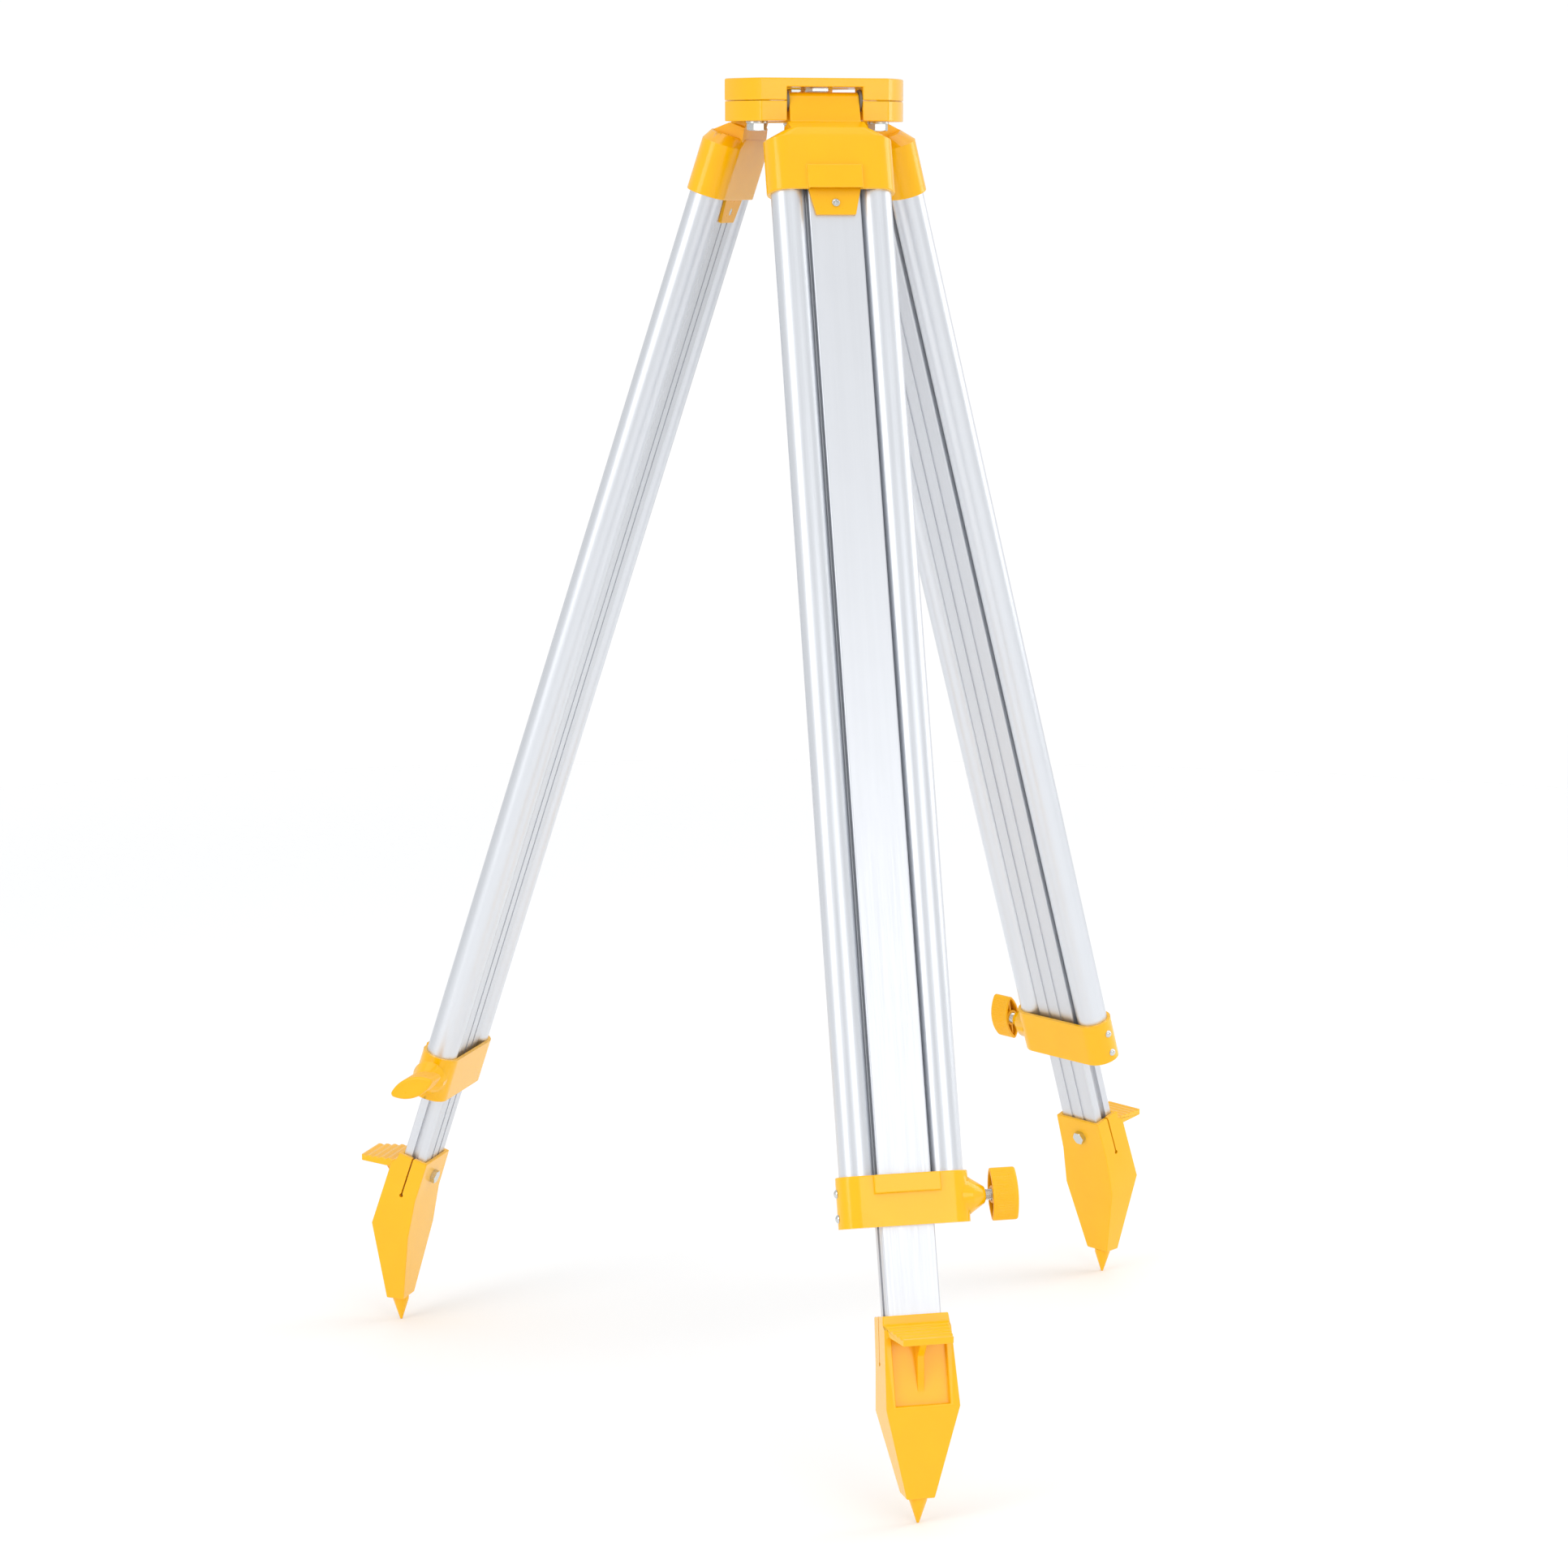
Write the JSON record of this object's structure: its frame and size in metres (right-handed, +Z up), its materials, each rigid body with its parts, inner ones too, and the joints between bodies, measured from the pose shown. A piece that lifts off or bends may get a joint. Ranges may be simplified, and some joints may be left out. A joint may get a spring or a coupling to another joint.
{
  "type": "surveying tripod",
  "caption": "Flat-head surveying tripod: yellow cast head, hinge caps, clamps and pointed feet, and telescopic aluminium legs of twin round tubes with a sliding flat bar.",
  "frame": {"origin": "on the head's axis at its top face, where the instrument screw's thread ends", "axes": "+Z up out of the head, the front leg towards -Y, the other two at 120 degrees to it"},
  "size_m": [0.6688, 0.603, 1.0025],
  "materials": {
    "yellow_enamel": "gloss golden-yellow enamel on aluminium castings",
    "yellow_plastic": "gloss golden-yellow moulded plastic",
    "anodised_tube": "satin anodised round tube",
    "anodised_bar": "satin anodised extrusion with fine lengthwise grain",
    "zinc_steel": "bright zinc plate",
    "zinc_plate": "zinc-plated pressed strip",
    "brass": "turned brass",
    "white_plastic": "natural nylon",
    "black_plastic": "black nylon"
  },
  "bodies": {
    "head": {"head_plate": "yellow_enamel", "corner_clamp_right": "yellow_enamel", "corner_clamp_rear": "yellow_enamel", "corner_clamp_left": "yellow_enamel", "corner_bolts": "zinc_steel", "corner_washers": "zinc_steel", "hinge_pin_front": "zinc_steel", "hinge_pin_left": "zinc_steel", "hinge_pin_right": "zinc_steel", "friction_washers": "white_plastic", "arm_pivot_screw": "zinc_steel"},
    "arm": {"centring_arm": "zinc_plate"},
    "carriage": {"carriage_bush": "brass"},
    "lift": {"thrust_washer": "white_plastic"},
    "screw": {"instrument_screw": "brass", "centring_knob": "black_plastic"},
    "upper_front": {"front_hinge_cap": "yellow_enamel", "front_tube_knob_side": "anodised_tube", "front_tube_rivet_side": "anodised_tube", "front_clamp_ring": "yellow_enamel", "front_clamp_rivets": "zinc_steel", "front_pressure_shoe": "black_plastic"},
    "knob_front": {"front_clamp_screw": "zinc_steel", "front_clamp_knob": "yellow_plastic"},
    "lower_front": {"front_sliding_bar": "anodised_bar", "front_bar_guide": "yellow_plastic", "front_guide_screws": "zinc_steel", "front_foot": "yellow_enamel", "front_foot_bolt": "zinc_steel", "front_spike": "yellow_enamel"},
    "upper_left": {"left_hinge_cap": "yellow_enamel", "left_tube_knob_side": "anodised_tube", "left_tube_rivet_side": "anodised_tube", "left_clamp_ring": "yellow_enamel", "left_clamp_rivets": "zinc_steel", "left_pressure_shoe": "black_plastic"},
    "knob_left": {"left_clamp_screw": "zinc_steel", "left_clamp_knob": "yellow_plastic"},
    "lower_left": {"left_sliding_bar": "anodised_bar", "left_bar_guide": "yellow_plastic", "left_guide_screws": "zinc_steel", "left_foot": "yellow_enamel", "left_foot_bolt": "zinc_steel", "left_spike": "yellow_enamel"},
    "upper_right": {"right_hinge_cap": "yellow_enamel", "right_tube_knob_side": "anodised_tube", "right_tube_rivet_side": "anodised_tube", "right_clamp_ring": "yellow_enamel", "right_clamp_rivets": "zinc_steel", "right_pressure_shoe": "black_plastic"},
    "knob_right": {"right_clamp_screw": "zinc_steel", "right_clamp_knob": "yellow_plastic"},
    "lower_right": {"right_sliding_bar": "anodised_bar", "right_bar_guide": "yellow_plastic", "right_guide_screws": "zinc_steel", "right_foot": "yellow_enamel", "right_foot_bolt": "zinc_steel", "right_spike": "yellow_enamel"}
  },
  "joints": [
    {"name": "arm_swing", "type": "hinge", "parent": "head", "child": "arm", "pos_m": [0, 0.033, -0.008], "axis": [0, 0, 1], "range_deg": [-16, 16]},
    {"name": "carriage_slide", "type": "slide", "parent": "arm", "child": "carriage", "axis": [0, 1, 0], "range_m": [-0.007, 0.007]},
    {"name": "screw_lift", "type": "slide", "parent": "carriage", "child": "lift", "axis": [0, 0, 1], "range_m": [0, 0.017]},
    {"name": "screw_turn", "type": "hinge", "parent": "lift", "child": "screw", "pos_m": [0, 0, -0.03], "axis": [0, 0, 1], "continuous": true},
    {"name": "front_leg_hinge", "type": "hinge", "parent": "head", "child": "upper_front", "pos_m": [0, -0.042, -0.0162], "axis": [-1, 0, 0], "range_deg": [-18.4, 30]},
    {"name": "front_leg_slide", "type": "slide", "parent": "upper_front", "child": "lower_front", "axis": [0, -0.3156, -0.9489], "range_m": [0, 0.71]},
    {"name": "front_knob_turn", "type": "hinge", "parent": "upper_front", "child": "knob_front", "pos_m": [0, -0.30233, -0.78071], "axis": [1, 0, 0], "range_deg": [0, 270]},
    {"name": "left_leg_hinge", "type": "hinge", "parent": "head", "child": "upper_left", "pos_m": [-0.03637, 0.021, -0.0162], "axis": [0.5, 0.866, 0], "range_deg": [-18.4, 30]},
    {"name": "left_leg_slide", "type": "slide", "parent": "upper_left", "child": "lower_left", "axis": [-0.2734, 0.1578, -0.9489], "range_m": [0, 0.71]},
    {"name": "left_knob_turn", "type": "hinge", "parent": "upper_left", "child": "knob_left", "pos_m": [-0.26182, 0.15116, -0.78071], "axis": [-0.5, -0.866, 0], "range_deg": [0, 270]},
    {"name": "right_leg_hinge", "type": "hinge", "parent": "head", "child": "upper_right", "pos_m": [0.03637, 0.021, -0.0162], "axis": [0.5, -0.866, 0], "range_deg": [-18.4, 30]},
    {"name": "right_leg_slide", "type": "slide", "parent": "upper_right", "child": "lower_right", "axis": [0.2734, 0.1578, -0.9489], "range_m": [0, 0.71]},
    {"name": "right_knob_turn", "type": "hinge", "parent": "upper_right", "child": "knob_right", "pos_m": [0.26182, 0.15116, -0.78071], "axis": [-0.5, 0.866, 0], "range_deg": [0, 270]}
  ]
}
